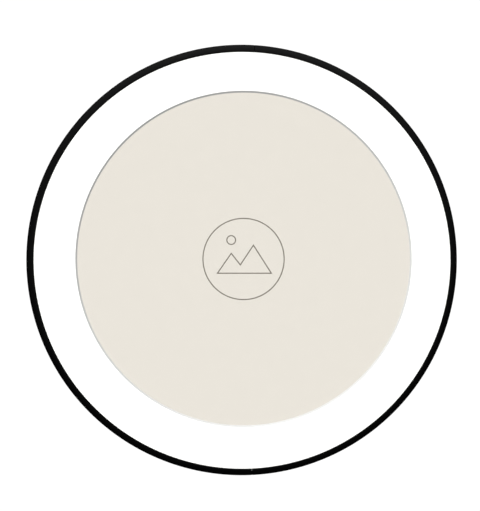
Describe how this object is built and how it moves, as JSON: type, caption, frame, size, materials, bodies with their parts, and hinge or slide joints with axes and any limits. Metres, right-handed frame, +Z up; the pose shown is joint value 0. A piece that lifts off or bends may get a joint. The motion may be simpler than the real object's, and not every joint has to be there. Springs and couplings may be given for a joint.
{
  "type": "round photo frame",
  "caption": "Round wall frame: thin black metal ring, glass, bevelled window mount, insert sheet and a back board held by turn buttons, with a keyhole hanger.",
  "frame": {"origin": "centre of the ring's rear edge, in the plane of the wall", "axes": "+Y from the front face towards the wall, along the ring's axis; +Z up as it hangs; +X to the right as seen from the front"},
  "size_m": [0.303, 0.018, 0.303],
  "materials": {
    "ring_black": "satin black powder coat",
    "zinc_steel": "bright zinc plated sheet",
    "screw_steel": "zinc plated",
    "rivet_steel": "nickel plated",
    "clear_glass": "clear float glass, ground edge",
    "mat_board": "smooth white board with a cut bevel",
    "insert_paper": "uncoated beige paper",
    "grey_card": "raw greyboard",
    "fibreboard": "raw fibreboard, smooth face"
  },
  "bodies": {
    "frame": {"frame_arc_left": "ring_black", "frame_arc_right": "ring_black", "splice_top": "zinc_steel", "splice_bottom": "zinc_steel", "splice_screws_top": "screw_steel", "splice_screws_bottom": "screw_steel", "glass": "clear_glass", "mat": "mat_board", "insert_sheet": "insert_paper", "filler_card": "grey_card", "back_board": "fibreboard", "button_rivets": "rivet_steel", "hanger_plate": "zinc_steel", "hanger_rivets": "rivet_steel"},
    "button_1": {"turn_button_1": "zinc_steel"},
    "button_2": {"turn_button_2": "zinc_steel"},
    "button_3": {"turn_button_3": "zinc_steel"},
    "button_4": {"turn_button_4": "zinc_steel"},
    "button_5": {"turn_button_5": "zinc_steel"},
    "button_6": {"turn_button_6": "zinc_steel"}
  },
  "joints": [
    {"name": "button_1_turn", "type": "hinge", "parent": "frame", "child": "button_1", "pos_m": [0.1357, -0.008, 0], "axis": [0, 1, 0], "continuous": true},
    {"name": "button_2_turn", "type": "hinge", "parent": "frame", "child": "button_2", "pos_m": [0.06785, -0.008, 0.11752], "axis": [0, 1, 0], "continuous": true},
    {"name": "button_3_turn", "type": "hinge", "parent": "frame", "child": "button_3", "pos_m": [-0.06785, -0.008, 0.11752], "axis": [0, 1, 0], "continuous": true},
    {"name": "button_4_turn", "type": "hinge", "parent": "frame", "child": "button_4", "pos_m": [-0.1357, -0.008, 0], "axis": [0, 1, 0], "continuous": true},
    {"name": "button_5_turn", "type": "hinge", "parent": "frame", "child": "button_5", "pos_m": [-0.06785, -0.008, -0.11752], "axis": [0, 1, 0], "continuous": true},
    {"name": "button_6_turn", "type": "hinge", "parent": "frame", "child": "button_6", "pos_m": [0.06785, -0.008, -0.11752], "axis": [0, 1, 0], "continuous": true}
  ]
}
